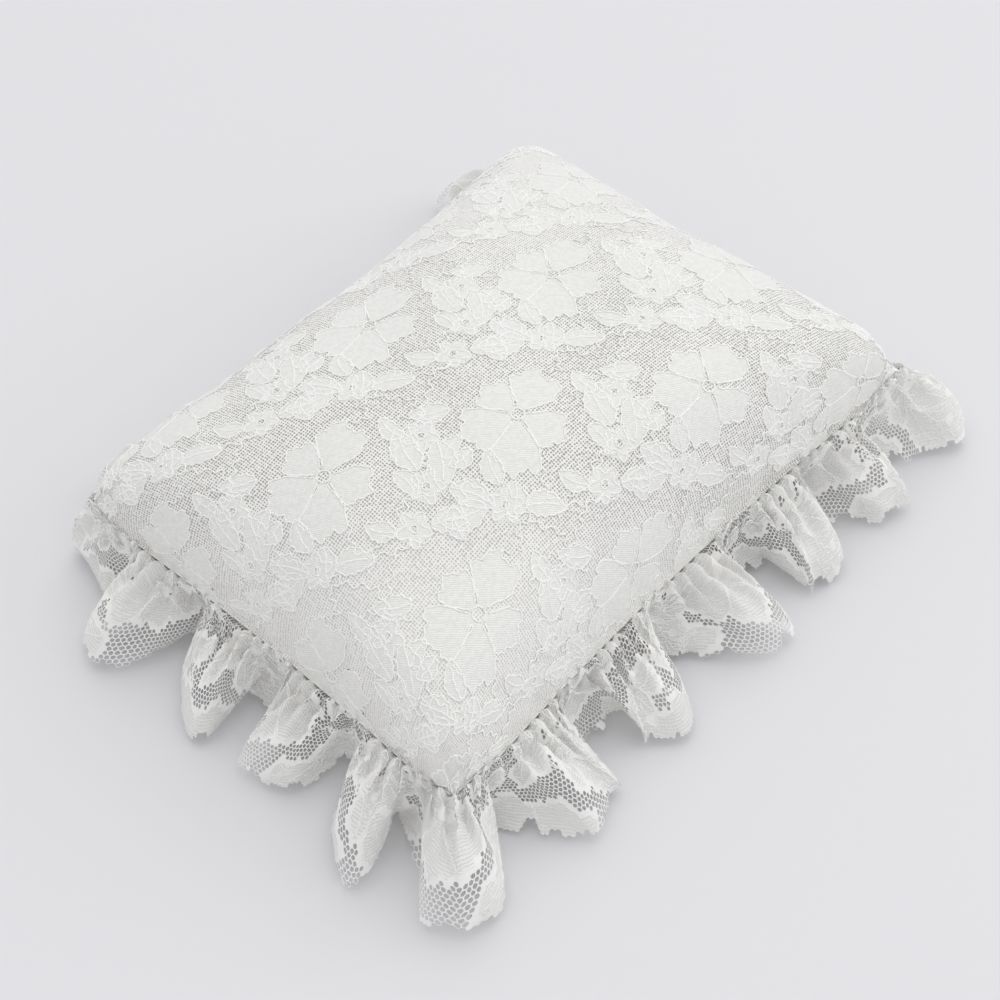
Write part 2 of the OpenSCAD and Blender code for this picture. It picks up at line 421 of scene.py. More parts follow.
# Winding cords between the motifs, each through its own few points
SCROLLS = [
    [(-29, 8), (-24, 16), (-17, 20), (-10, 24), (-3, 27), (6, 22)],
    [(22, -17), (17, -22), (9, -23), (2, -27), (-6, -25), (-14, -28)],
    [(30, -10), (33, -3), (29, 4), (29, 10)],
    [(-29, 0), (-24, -6), (-25, -14), (-20, -21)],
    [(-14, 13), (-20, 19), (-28, 20), (-34, 15)],
    [(12, 16), (18, 21), (16, 28), (9, 34), (3, 33)],
    [(16, -6), (22, -3), (28, -6), (33, -14)],
    [(-17, 3), (-24, -1), (-30, -7), (-38, -8)],
    [(-7, -15), (-11, -22), (-5, -29), (3, -32)],
    [(16, 6), (21, 3), (24, 7), (30, 6)],
]
SCROLL_WAVE = 0.8
SCROLL_WAVE_POINTS = 6.5

# No cord reaches farther than this from the repeat point it belongs to
UNIT_REACH = 40


def turned(x, y, degrees):
    c, s = math.cos(math.radians(degrees)), math.sin(math.radians(degrees))
    return x * c + y * s, -x * s + y * c


def placed(x, y, direction, at_x=0.0, at_y=0.0):
    """Points of a motif, turned to its direction and moved to its place."""
    x, y = turned(x, y, -direction)
    return np.stack([x + at_x, y + at_y], -1)


def petal_rim(share, direction):
    """How far a petal's uneven, scalloped rim reaches, share running from -1 to 1 across the petal."""
    return (
        1
        - 0.3 * np.abs(share) ** 3
        + 0.065 * np.cos(8 * share + direction)
        + 0.03 * np.cos(22 * share + 2 * direction)
    )


def petal_half_angle(r, half_angle):
    """A petal is narrower where it joins the middle of the blossom."""
    return np.radians(half_angle) * (0.8 + 0.19 * smooth(2, 8, r))


def petal_distance(x, y, petal):
    """Signed distance to a petal's edge, below 0 inside."""
    direction, reach, half_angle = petal
    p, q = turned(x, y, direction)
    r = np.hypot(p, q)
    half = petal_half_angle(r, half_angle)
    share = np.arctan2(q, p) / half
    beside = (np.abs(share) - 1) * half * r
    return np.maximum(r - reach * petal_rim(np.clip(share, -1, 1), direction), beside)


def leaf_bend(p, length):
    return LEAF_BEND * np.sin(math.pi * p / length)


def leaf_half_width(p, length, half_width):
    share = np.clip(p / length, 0, 1)
    teeth = 1 + 0.1 * np.sin(share * LEAF_TEETH * 2 * math.pi)
    return half_width * np.sin(math.pi * share**0.8) ** 0.8 * teeth


def leaf_distance(x, y, leaf):
    """Distance to a leaf's edge, below 0 inside."""
    at_x, at_y, direction, length, half_width = leaf
    p, q = turned(x - at_x, y - at_y, direction)
    aside = np.abs(q - leaf_bend(p, length))
    beyond = np.maximum(np.maximum(-p, p - length), 0)
    within = aside - leaf_half_width(p, length, half_width)
    return np.where(beyond > 0, np.hypot(beyond, aside), within)


def small_flower_distance(x, y, flower):
    at_x, at_y, turn = flower
    p, q = turned(x - at_x, y - at_y, turn)
    angle = np.arctan2(q, p)
    fifth = 0.4 * math.pi
    petal = np.round(angle / fifth) * fifth
    along = p * np.cos(petal) + q * np.sin(petal)
    across = -p * np.sin(petal) + q * np.cos(petal)
    petals = np.hypot(along - SMALL_PETAL_AT, across) - SMALL_PETAL_R
    return np.maximum(petals, SMALL_EYE - np.hypot(p, q))


def motif_distance(u, v):
    """Signed distance to the nearest filled motif of the lace, below 0 inside it."""
    place = np.stack([u, v], -1) - PATTERN_START
    repeat = np.round(place @ np.linalg.inv(REPEAT))
    nearest = np.full(u.shape, np.inf)
    for neighbour in itertools.product((-1, 0, 1), repeat=2):
        x, y = np.moveaxis(place - (repeat + neighbour) @ REPEAT, -1, 0)
        blossom = np.min([petal_distance(x, y, petal) for petal in PETALS], axis=0)
        motifs = [np.maximum(blossom, BLOSSOM_EYE - np.hypot(x, y))]
        motifs += [leaf_distance(x, y, leaf) for leaf in LEAVES]
        motifs += [small_flower_distance(x, y, flower) for flower in SMALL_FLOWERS]
        nearest = np.min([nearest, *motifs], axis=0)
    return nearest


def petal_outline(petal):
    direction, reach, half_angle = petal
    share = np.linspace(-1, 1, 80)
    rim = reach * petal_rim(share, direction)
    side = np.linspace(BLOSSOM_EYE + 1, rim[0], 18)[:-1]
    r = np.concatenate([side, rim, side[::-1]])
    share = np.concatenate([-np.ones(len(side)), share, np.ones(len(side))])
    angle = share * petal_half_angle(r, half_angle)
    return placed(r * np.cos(angle), r * np.sin(angle), direction)


def leaf_outline(leaf):
    at_x, at_y, direction, length, half_width = leaf
    p = np.linspace(0, length, 22)
    half = leaf_half_width(p, length, half_width)
    bend = leaf_bend(p, length)
    q = np.concatenate([bend + half, (bend - half)[::-1]])
    return placed(np.concatenate([p, p[::-1]]), q, direction, at_x, at_y)


def leaf_vein(leaf):
    at_x, at_y, direction, length, _ = leaf
    p = np.linspace(0, 0.82 * length, 16)
    return placed(p, leaf_bend(p, length), direction, at_x, at_y)


def small_flower_outline(flower):
    at_x, at_y, turn = flower
    angle = np.radians(np.linspace(0, 360, 61))
    reach = 3.9 + 1.25 * np.cos(5 * angle)
    return placed(reach * np.cos(angle), reach * np.sin(angle), turn, at_x, at_y)


def eye_outline(at_x, at_y, radius):
    angle = np.radians(np.linspace(0, 360, 19))
    return placed(radius * np.cos(angle), radius * np.sin(angle), 0, at_x, at_y)


def scroll_line(knots):
    """A smooth winding line through a few points."""
    knots = np.array(knots, float)
    ends = np.concatenate([[2 * knots[0] - knots[1]], knots, [2 * knots[-1] - knots[-2]]])
    line = []
    for k in range(len(knots) - 1):
        t = np.linspace(0, 1, 12, endpoint=False)[:, None]
        w = Surface.weights(t)
        line.append(sum(w[m] * ends[k + m] for m in range(4)))
    line = np.concatenate(line)
    direction = unit(np.gradient(line, axis=0))
    across = np.stack([-direction[:, 1], direction[:, 0]], -1)
    wave = np.sin(np.arange(len(line)) * 2 * math.pi / SCROLL_WAVE_POINTS)[:, None]
    return line + SCROLL_WAVE * wave * across


def unit_cords():
    """Outlines of the motifs round one repeat point."""
    cords = [petal_outline(petal) for petal in PETALS]
    cords += [leaf_outline(leaf) for leaf in LEAVES]
    cords += [leaf_vein(leaf) for leaf in LEAVES]
    cords += [small_flower_outline(flower) for flower in SMALL_FLOWERS]
    cords += [eye_outline(x, y, 1.2) for x, y, _ in SMALL_FLOWERS]
    cords.append(eye_outline(0, 0, BLOSSOM_EYE))
    cords += [scroll_line(knots) for knots in SCROLLS]
    return cords


def evenly(line, step):
    """The same line with its points a given step apart."""
    lengths = lengths_along(line)
    count = max(int(lengths[-1] / step), 3)
    places = np.linspace(0, lengths[-1], count + 1)
    return np.stack([np.interp(places, lengths, line[:, k]) for k in (0, 1)], -1)


def pattern_cords(low, high, step, shift=(0, 0)):
    """All cords of the lace between two corners of a flat piece, cut at its edges."""
    low, high = np.array(low), np.array(high)
    start = PATTERN_START + shift
    cords = [evenly(line, step) for line in unit_cords()]
    span = 2 + int(max(high - low) / REPEAT[0, 1])
    nearest = np.round(np.linalg.solve(REPEAT.T, (low + high) / 2 - start))
    pieces = []
    for step_ij in itertools.product(range(-span, span + 1), repeat=2):
        origin = start + (nearest + step_ij) @ REPEAT
        if np.any(origin < low - UNIT_REACH) or np.any(origin > high + UNIT_REACH):
            continue
        for line in cords:
            here = line + origin
            inside = np.all((here > low) & (here < high), axis=1)
            cuts = np.flatnonzero(np.diff(inside.astype(int))) + 1
            parts = zip(np.split(here, cuts), np.split(inside, cuts))
            pieces += [part for part, keep in parts if keep[0] and len(part) > 4]
    return pieces


# ---- Materials ----


class Nodes:
    """A short way to write a material's node tree."""

    FIXED = {
        "specular": "Specular IOR Level",
        "sheen": "Sheen Weight",
        "sheen_roughness": "Sheen Roughness",
        "anisotropic": "Anisotropic",
    }

    def __init__(self, name):
        self.material = bpy.data.materials.new(name)
        self.material.use_nodes = True
        self.tree = self.material.node_tree
        self.shader = self.tree.nodes["Principled BSDF"]

    def link(self, value, socket):
        if isinstance(value, bpy.types.NodeSocket):
            self.tree.links.new(value, socket)
        else:
            socket.default_value = value

    def new(self, kind, *values, operation=None, **named):
        """A new node with its operation, its first sockets and its named sockets set."""
        node = self.tree.nodes.new("ShaderNode" + kind)
        if operation:
            node.operation = operation
        for value, socket in zip(values, node.inputs):
            self.link(value, socket)
        for name, value in named.items():
            self.link(value, node.inputs[name])
        return node

    def attribute(self, name, output="Fac"):
        node = self.new("Attribute")
        node.attribute_name = name
        return node.outputs[output]

    def place(self):
        return self.new("TexCoord").outputs["Object"]

    def place_mm(self):
        return self.vector("MULTIPLY", self.place(), (1 / MM, 1 / MM, 1 / MM))

    def math(self, operation, *values):
        return self.new("Math", *values, operation=operation).outputs[0]

    def vector(self, operation, *values):
        output = "Value" if operation in ("LENGTH", "DOT_PRODUCT") else "Vector"
        return self.new("VectorMath", *values, operation=operation).outputs[output]

    def noise(self, place, scale, detail=2.0, output="Fac"):
        return self.new("TexNoise", Vector=place, Scale=scale, Detail=detail).outputs[output]

    def ramp(self, value, low, high, at_low=0.0, at_high=1.0):
        node = self.new("MapRange", value, low, high, at_low, at_high)
        node.interpolation_type = "SMOOTHSTEP"
        return node.outputs[0]

    def stripes(self, value, low=0.05, high=0.45):
        """Stripes across a value: 1 at its whole numbers and 0 half way between them."""
        centred = self.math("SUBTRACT", self.math("FRACT", value), 0.5)
        return self.ramp(self.math("ABSOLUTE", centred), low, high)

    def mix(self, factor, low, high):
        node = self.new("Mix")
        node.data_type = "RGBA"
        for value, index in ((factor, 0), (low, 6), (high, 7)):
            self.link(value, node.inputs[index])
        return node.outputs[2]

    def bump(self, height, depth, strength):
        return self.new("Bump", Height=height, Distance=depth, Strength=strength).outputs["Normal"]

    def finish(self, colour, roughness, normal, **fixed):
        """Gives the shader its colour, roughness, normal and the values that are the same all over."""
        self.link(colour, self.shader.inputs["Base Color"])
        self.link(roughness, self.shader.inputs["Roughness"])
        self.link(normal, self.shader.inputs["Normal"])
        for name, value in fixed.items():
            self.shader.inputs[self.FIXED[name]].default_value = value
        return self.material

    def see_through(self, share, colour, normal):
        """Lets light from behind through a share of the cloth."""
        glow = self.new("BsdfTranslucent", Color=colour, Normal=normal)
        blend = self.new("MixShader", share, self.shader.outputs[0], glow.outputs[0])
        self.link(blend.outputs[0], self.tree.nodes["Material Output"].inputs["Surface"])


def rgb(red, green, blue):
    return (red, green, blue, 1.0)


LACE_WHITE = rgb(0.895, 0.888, 0.86)
LACE_BRIGHT = rgb(0.94, 0.94, 0.91)
FILL_THREAD = rgb(0.835, 0.83, 0.80)
CORD_WHITE = rgb(0.985, 0.985, 0.965)
# Painted shade: the satin seen through the holes of the top lace, darkened as if shaded by the lace
HOLE_PAINTED_SHADE = rgb(0.42, 0.41, 0.38)
# The ruffle's colours are whiter than the same lace's on the top: the thread's own white, raised
# further as painted light for the shade in its folds
RUFFLE_WHITE = rgb(0.985, 0.98, 0.955)
RUFFLE_BRIGHT = rgb(0.99, 0.985, 0.965)
RUFFLE_GAP = rgb(0.93, 0.925, 0.90)
SATIN_WHITE = rgb(0.86, 0.85, 0.81)
# Painted shade: the satin darker and yellower beside the seam
SATIN_SEAM_SHADE = rgb(0.82, 0.79, 0.71)
THREAD_WHITE = rgb(0.90, 0.89, 0.86)
THREAD_SHADE = rgb(0.72, 0.71, 0.66)
FILL_WHITE = rgb(0.90, 0.90, 0.89)
FILL_SHADE = rgb(0.74, 0.74, 0.73)
TABLE_LIGHT = rgb(0.785, 0.785, 0.80)
TABLE_DARK = rgb(0.765, 0.765, 0.785)

# Distance between the holes of the top lace's ground, and how far they stray from even rows
NET_PITCH = 0.86
NET_STRAY = 0.7
HOLE_EDGE = 0.16

# The holes and their painted shade show most in the middle of the pillow: how much is left of them at
# its two ends, which this paints lighter, a painted highlight towards the rear
NET_LEFT_FAR = 0.45
NET_LEFT_NEAR = 0.5

# Distance between the threads that fill the motifs, on the top and both ways on the ruffle
HATCH_PITCH = 0.55
ROW_PITCH = 0.8
RIB_PITCH = 0.8

# How far a filled motif's edge frays, in millimetres
FRAY = 1.6


def panel_lace_material():
    """Fine net ground with small holes drawn by a bump and painted shade, and motifs filled with close
    parallel threads.
    """
    n = Nodes("panel_lace")
    cloth = n.attribute("cloth", "Vector")
    stray = n.vector("MULTIPLY", n.noise(cloth, 0.6, 1.0, "Color"), (NET_STRAY, NET_STRAY, 0.0))
    cell = n.vector("MULTIPLY", n.vector("ADD", cloth, stray), (1 / NET_PITCH, 1 / NET_PITCH, 0.0))
    off_centre = n.vector("SUBTRACT", n.vector("FRACTION", cell), (0.5, 0.5, 0.0))
    size = n.ramp(n.noise(cloth, 0.11, 3.0), 0.3, 0.7, 0.33, 0.39)
    size = n.math("ADD", size, n.ramp(n.noise(cloth, 0.95, 1.0), 0.3, 0.7, -0.11, 0.09))
    small = n.math("SUBTRACT", size, HOLE_EDGE)
    open_net = n.ramp(n.vector("LENGTH", off_centre), small, size, 1.0, 0.0)
    rearward = n.vector("DOT_PRODUCT", cloth, (0.7, 0.7, 0.0))
    # Less of the holes' painted shade towards the rear and the near end paints those parts of the lace
    # lighter
    open_net = n.math("MULTIPLY", open_net, n.ramp(rearward, -10.0, 95.0, 1.0, NET_LEFT_FAR))
    open_net = n.math("MULTIPLY", open_net, n.ramp(rearward, -80.0, -35.0, NET_LEFT_NEAR, 1.0))
    fray = n.math("MULTIPLY", n.math("SUBTRACT", n.noise(cloth, 1.3), 0.5), FRAY)
    filled = n.ramp(n.math("ADD", n.attribute("motif"), fray), -0.3, 0.3, 1.0, 0.0)
    across = n.vector("DOT_PRODUCT", cloth, (0.70 / HATCH_PITCH, 0.71 / HATCH_PITCH, 0.0))
    hatch = n.stripes(n.math("ADD", across, n.math("MULTIPLY", n.noise(cloth, 0.35), 1.6)))
    ground_height = n.math("SUBTRACT", 1.0, open_net)
    fill_height = n.math("ADD", n.math("MULTIPLY", hatch, 0.35), 0.95)
    fill_height = n.math("MULTIPLY", filled, fill_height)
    ground_height = n.math("MULTIPLY", n.math("SUBTRACT", 1.0, filled), ground_height)
    height = n.math("ADD", fill_height, ground_height)
    dense = n.ramp(n.noise(cloth, 0.7, 4.0), 0.38, 0.6, 0.1, 1.0)
    fill = n.mix(n.math("MULTIPLY", hatch, dense), FILL_THREAD, LACE_BRIGHT)
    # The holes are coloured with painted shade, the dark of the shaded satin under the lace
    colour = n.mix(filled, n.mix(open_net, LACE_WHITE, HOLE_PAINTED_SHADE), fill)
    roughness = n.ramp(height, 0.0, 1.3, 0.85, 0.62)
    relief = n.bump(height, 0.00025, 0.8)
    return n.finish(colour, roughness, relief, specular=0.25, sheen=0.15, sheen_roughness=0.5)


def ruffle_lace_material():
    """The same lace in one open layer: light comes through it, and rows of thread fill its motifs."""
    n = Nodes("ruffle_lace")
    cloth = n.attribute("cloth", "Vector")
    rows = n.vector("DOT_PRODUCT", cloth, (0.0, 1 / ROW_PITCH, 0.0))
    hatch = n.stripes(n.math("ADD", rows, n.math("MULTIPLY", n.noise(cloth, 0.35), 1.2)))
    ribs = n.stripes(n.vector("DOT_PRODUCT", cloth, (1 / RIB_PITCH, 0.0, 0.0)), 0.25, 0.5)
    filled = n.ramp(n.attribute("motif"), -0.4, 0.6, 1.0, 0.0)
    weave = n.math("ADD", n.math("MULTIPLY", hatch, 0.75), n.math("MULTIPLY", ribs, 0.25))
    uneven = n.math("MULTIPLY", n.noise(cloth, 0.09, 3.0), 0.8)
    tone = n.ramp(n.math("ADD", weave, uneven), 0.5, 1.1)
    # These colours carry painted light that makes up for the shade in the ruffle's folds
    colour = n.mix(filled, RUFFLE_WHITE, n.mix(tone, RUFFLE_GAP, RUFFLE_BRIGHT))
    relief = n.bump(n.math("MULTIPLY", weave, filled), 0.00026, 0.9)
    n.see_through(n.ramp(filled, 0.0, 1.0, 0.12, 0.16), colour, relief)
    roughness = n.ramp(weave, 0.0, 1.0, 0.8, 0.6)
    return n.finish(colour, roughness, relief, specular=0.25, sheen=0.5, sheen_roughness=0.6)


def satin_material():
    """Satin weave: long floats with a soft sheen, and painted yellowish shade beside the seam."""
    n = Nodes("satin")
    cloth = n.attribute("cloth", "Vector")
    floats = n.noise(n.vector("MULTIPLY", cloth, (0.35, 7.0, 1.0)), 1.0, 4.0)
    slubs = n.math("MULTIPLY", n.noise(cloth, 0.05, 3.0), 0.25)
    # Painted shade: the satin is darkened and yellowed towards the seam
    seam_shade = n.ramp(n.attribute("edge"), 2.0, 16.0, 0.6, 0.1)
    colour = n.mix(n.math("ADD", seam_shade, slubs), SATIN_WHITE, SATIN_SEAM_SHADE)
    roughness = n.ramp(floats, 0.3, 0.7, 0.32, 0.48)
    return n.finish(colour, roughness, n.bump(floats, 0.00006, 0.6), anisotropic=0.5, sheen=0.2)


def cord_material():
    """Raised outline cord of the lace: bright thread, wound round at short steps."""
    n = Nodes("lace_cord")
    wound = n.noise(n.place_mm(), 2.2, 3.0)
    colour = n.mix(n.ramp(wound, 0.3, 0.7), LACE_BRIGHT, CORD_WHITE)
    roughness = n.ramp(wound, 0.3, 0.7, 0.75, 0.55)
    return n.finish(colour, roughness, n.bump(wound, 0.00012, 0.7), sheen=0.15)


def thread_material():
    """Twisted sewing thread."""
    n = Nodes("thread")
    twist = n.stripes(n.vector("DOT_PRODUCT", n.place_mm(), (1.6, 1.6, 2.0)))
    colour = n.mix(twist, THREAD_SHADE, THREAD_WHITE)
    return n.finish(colour, n.ramp(twist, 0.0, 1.0, 0.6, 0.4), n.bump(twist, 0.00008, 0.8))


def filling_material():
    """Lofty polyester fibre."""
    n = Nodes("filling")
    tufts = n.noise(n.place_mm(), 0.12, 6.0)
    fibres = n.noise(n.vector("MULTIPLY", n.place_mm(), (0.5, 2.0, 1.0)), 1.3, 5.0)
    fluff = n.math("MULTIPLY", n.math("ADD", tufts, fibres), 0.5)
    colour = n.mix(n.ramp(fluff, 0.35, 0.65), FILL_SHADE, FILL_WHITE)
    roughness = n.ramp(fluff, 0.3, 0.7, 0.95, 0.8)
    return n.finish(colour, roughness, n.bump(fluff, 0.0012, 0.9), sheen=0.4)


def floor_material():
    """Matt white tabletop with the faintest mottling."""
    n = Nodes("tabletop")
    mottle = n.noise(n.place(), 4.0, 4.0)
    colour = n.mix(mottle, TABLE_DARK, TABLE_LIGHT)
    roughness = n.ramp(mottle, 0.3, 0.7, 0.75, 0.85)
    grain = n.bump(n.noise(n.place(), 900.0), 0.00002, 0.3)
    return n.finish(colour, roughness, grain, specular=0.2)


def finish_piece(piece, material, slot, *nodes):
    """Gives a piece its material, puts it under the root body and hides the model's parts it replaces.
    """
    piece.data.materials.append(material)
    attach(piece, "root")
    if nodes:
        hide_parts(*nodes)
    return piece


# ---- Camera, light and floor ----

CAMERA_AZIMUTH = -47.4
CAMERA_ELEVATION = 52.3
CAMERA_DISTANCE = 0.562
CAMERA_TARGET = Vector((-0.0147, -0.0153, 0.025))
CAMERA_LENS = 67.1
CAMERA_ROLL = 1.0
FLOOR_HALF = 1500


def add_camera():
    data = bpy.data.cameras.new("camera")
    data.lens = CAMERA_LENS
    data.clip_start = 0.01
    matrix = Matrix.Translation(CAMERA_TARGET)
    for degrees, axis in ((CAMERA_AZIMUTH, "Z"), (90 - CAMERA_ELEVATION, "X"), (-CAMERA_ROLL, "Z")):
        matrix = matrix @ Matrix.Rotation(math.radians(degrees), 4, axis)
    matrix = matrix @ Matrix.Translation((0, 0, CAMERA_DISTANCE))
    bpy.context.scene.camera = place_in_scene("camera", data, matrix)


# The lights: where each one stands or comes from, how wide it is and how strong
SKY_COLOUR = rgb(0.985, 0.985, 1.0)
SKY_STRENGTH = 0.765
OVERHEAD_FROM = Vector((0.40, 0.27, 0.87))
OVERHEAD_ANGLE = 60
OVERHEAD_POWER = 0.68
FILL_LIGHT_PLACE = Vector((1.0, -0.9, 0.7))
FILL_LIGHT_AIM = Vector((0.1, -0.1, 0))
FILL_LIGHT_SIZE = 0.9
FILL_LIGHT_POWER = 2.6


def shining_from(direction):
    return direction.to_track_quat("Z", "Y").to_matrix().to_4x4()


def add_studio():
    """An even pale surround, a far bank of soft boxes over the table and a weak light beside it."""
    world = bpy.data.worlds.new("studio")
    world.use_nodes = True
    sky = world.node_tree.nodes["Background"]
    sky.inputs["Color"].default_value = SKY_COLOUR
    sky.inputs["Strength"].default_value = SKY_STRENGTH
    bpy.context.scene.world = world
    bpy.context.scene.view_settings.view_transform = "Standard"

    overhead = bpy.data.lights.new("overhead", "SUN")
    overhead.angle = math.radians(OVERHEAD_ANGLE)
    overhead.energy = OVERHEAD_POWER
    place_in_scene("overhead", overhead, shining_from(OVERHEAD_FROM))

    fill_light = bpy.data.lights.new("right_fill", "AREA")
    fill_light.shape = "DISK"
    fill_light.size = FILL_LIGHT_SIZE
    fill_light.energy = FILL_LIGHT_POWER
    place = Matrix.Translation(FILL_LIGHT_PLACE)
    place_in_scene("right_fill", fill_light, place @ shining_from(FILL_LIGHT_PLACE - FILL_LIGHT_AIM))


def add_floor():
    side = np.linspace(-FLOOR_HALF, FLOOR_HALF, 25)
    x, y = np.meshgrid(side, side, indexing="ij")
    points = np.stack([x, y, np.zeros_like(x)], -1)
    floor = new_mesh("tabletop", points.reshape(-1, 3), grid_faces(25, 25))
    floor.data.materials.append(floor_material())


# ---- Stuffing, satin and lace of the top ----


def even_places(long_steps=LONG_STEPS, short_steps=SHORT_STEPS):
    """Fractional grid places of an even grid over the cover."""
    i = np.linspace(0, 2 * LONG_STEPS, 2 * long_steps + 1)
    j = np.linspace(0, 2 * SHORT_STEPS, 2 * short_steps + 1)
    return np.meshgrid(i, j, indexing="ij")


def cloth_places(surface, i, j):
    """Flat cloth coordinates of grid places, from the middle of the panel."""
    u = np.interp(i, np.arange(surface.rows), arc_table(surface, True))
    v = np.interp(j, np.arange(surface.columns), arc_table(surface, False))
    return u, v


def from_edge(u, v):
    """Distance of flat places from the panel's sewn edge."""
    return np.minimum(u.max() - np.abs(u), v.max() - np.abs(v))


def flat_points(u, v):
    return np.stack([u, v, np.zeros_like(u)], -1).reshape(-1, 3)


# The stuffing stays inside the cover, and its tufts lie a little lower still
STUFFING_INSET = 0.5
TUFT_HEIGHT = 0.35
TUFT_DROP = 0.4


def add_stuffing():
    i, j = even_places()
    top = cover_surface(-STUFFING_INSET, True).at(i, j)
    bottom = cover_surface(-STUFFING_INSET, False).at(i, j)
    inner = top[1:-1, 1:-1]
    tuft = TUFT_HEIGHT * np.sin(inner[..., 0] * 0.9) * np.sin(inner[..., 1] * 1.1)
    inner[..., 2] += tuft - TUFT_DROP
    piece = closed_sheet("stuffing", out_of_square(top), out_of_square(bottom))
    finish_piece(piece, filling_material(), "filling", "fibre_fill")


def add_satin(name, upper, node, material):
    """A satin panel with its thickness, and how far each point is from the seam."""
    i, j = even_places()
    outer = cover_surface(SATIN_T, upper)
    inner = cover_surface(0.0, upper)
    u, v = cloth_places(outer, i, j)
    layers = [out_of_square(s.at(i, j)) for s in (outer, inner)]
    piece = closed_sheet(name, *(layers if upper else layers[::-1]))
    set_attribute(piece, "cloth", np.tile(flat_points(u, v), (2, 1)))
    set_attribute(piece, "edge", np.tile(from_edge(u, v).ravel(), 2))
    finish_piece(piece, material, "satin", node)


# The top's lace: its grid, its height over the filling, and how far its filled motifs stand up
LACE_STEPS = (180, 135)
LACE_OUT = SATIN_T + LACE_T * 0.8
MOTIF_HEIGHT = 0.17

# Its cut edge stands out and up against the heading of the ruffle
LIP_OUT = 1.1
LIP_UP = 1.3
LIP_WIDTH = 2.6

# Its outline cords
CORD_STEP = 0.6
CORD_R = 0.26
CORD_FLATTEN = 0.75
CORD_LIFT = 0.19
CORD_JITTER = 0.1
CORD_MARGIN = 0.8


def add_panel_lace():
    """The lace over the top panel: its cloth, and the cords that outline its motifs."""
    surface = cover_surface(LACE_OUT, True)
    i, j = even_places(*LACE_STEPS)
    u, v = cloth_places(surface, i, j)
    motif = motif_distance(u, v)
    normal = surface.normal(i, j)
    raised = MOTIF_HEIGHT * smooth(0.5, -0.6, motif) * smooth(0, 3, from_edge(u, v))
    lip = smooth(LIP_WIDTH, 0, from_edge(u, v))[..., None]
    level = unit(normal * (1, 1, 0))
    points = surface.at(i, j) + raised[..., None] * normal + lip * (LIP_OUT * level + (0, 0, LIP_UP))
    piece = new_mesh("lace_top", out_of_square(points).reshape(-1, 3), grid_faces(*i.shape))
    set_attribute(piece, "cloth", flat_points(u, v))
    set_attribute(piece, "motif", motif.ravel())
    finish_piece(piece, panel_lace_material(), "panel_lace", "lace_overlay")

    arc_u, arc_v = arc_table(surface, True), arc_table(surface, False)
    corner = np.array([arc_u[-1], arc_v[-1]]) - CORD_MARGIN
    opposite = np.array([arc_u[0], arc_v[0]]) + CORD_MARGIN
    paths = []
    for line in pattern_cords(opposite, corner, CORD_STEP):
        line = line + rng.normal(0, CORD_JITTER, line.shape)
        i = np.interp(line[:, 0], arc_u, np.arange(surface.rows))
        j = np.interp(line[:, 1], arc_v, np.arange(surface.columns))
        up = surface.normal(i, j)
        widths = 1 + 0.22 * np.sin(np.arange(len(line)) * 1.9) + rng.normal(0, 0.08, len(line))
        paths.append((out_of_square(surface.at(i, j) + CORD_LIFT * up), up, widths))
    cords = tube_mesh("lace_top_cords", paths, CORD_R, sides=5, flatten=CORD_FLATTEN)
    finish_piece(cords, cord_material(), "panel_lace")


# ---- The seam and the ruffle ----

# The seam is followed side by side, ROUND millimetres in all. The ruffle begins to turn with each
# corner at CORNER_TURN from it.
SIDE_LENGTHS = np.array([2 * HALF_L, 2 * HALF_W, 2 * HALF_L, 2 * HALF_W])
SIDE_STARTS = np.concatenate([[0], np.cumsum(SIDE_LENGTHS)[:-1]])
ROUND = SIDE_LENGTHS.sum()
CORNER_TURN = 26.0


def seam_path(way):
    """Seam points and outward directions, way millimetres round from the -X -Y corner."""
    way = way % ROUND
    side = np.searchsorted(SIDE_STARTS, way, side="right") - 1
    q = 2 * (way - SIDE_STARTS[side]) / SIDE_LENGTHS[side] - 1
    long_side = side % 2 == 0
    along = q * np.where(long_side, HALF_L, HALF_W)
    pinch = np.where(long_side, PINCH_LONG, PINCH_SHORT) * (1 - q * q)
    across = np.where(long_side, HALF_W, HALF_L) - pinch
    cos_side, sin_side = np.cos(side * math.pi / 2), np.sin(side * math.pi / 2)
    x = along * cos_side + across * sin_side
    y = along * sin_side - across * cos_side
    z = SEAM_MID + (SEAM_CORNER - SEAM_MID) * q * q
    away = (1 - np.abs(q)) * SIDE_LENGTHS[side] / 2
    near = np.maximum(0, 1 - away / CORNER_TURN) ** 1.5
    angle = (side - 1) * math.pi / 2 + np.sign(q) * math.pi / 4 * near
    out = np.stack([np.cos(angle), np.sin(angle), np.zeros_like(angle)], -1)
    return np.stack([x, y, z], -1), out


# Crests of the folds: millimetres round the seam from the -X -Y corner, how far each stands out, and
# how far it leans along the seam
FOLD_CRESTS = [
    (0, 1.1, 0), (30, 0.95, 4), (71, 1.0, -3), (105, 1.2, 7), (143, 1.0, -4), (168, 0.9, 5),
    (200, 0.85, -3), (234, 0.9, 4), (266, 1.0, -5), (300, 0.95, 3), (332, 0.8, -4), (366, 1.0, 0),
    (398, 0.65, -3), (432, 0.8, 6), (466, 0.95, -4), (500, 1.0, 3), (527, 0.9, -4), (553, 0.2, 0),
    (580, 1.0, -6), (613, 1.05, 5), (645, 1.0, -5), (675, 0.95, 4),
]
CREST_REACH = 22.0
VALLEY_REACH = 1.5
CREASE_DEPTH = 2.1
HEM_HEIGHT = 3.0
GATHER_PITCH = 4.4
HEADING_LIFT = 2.4

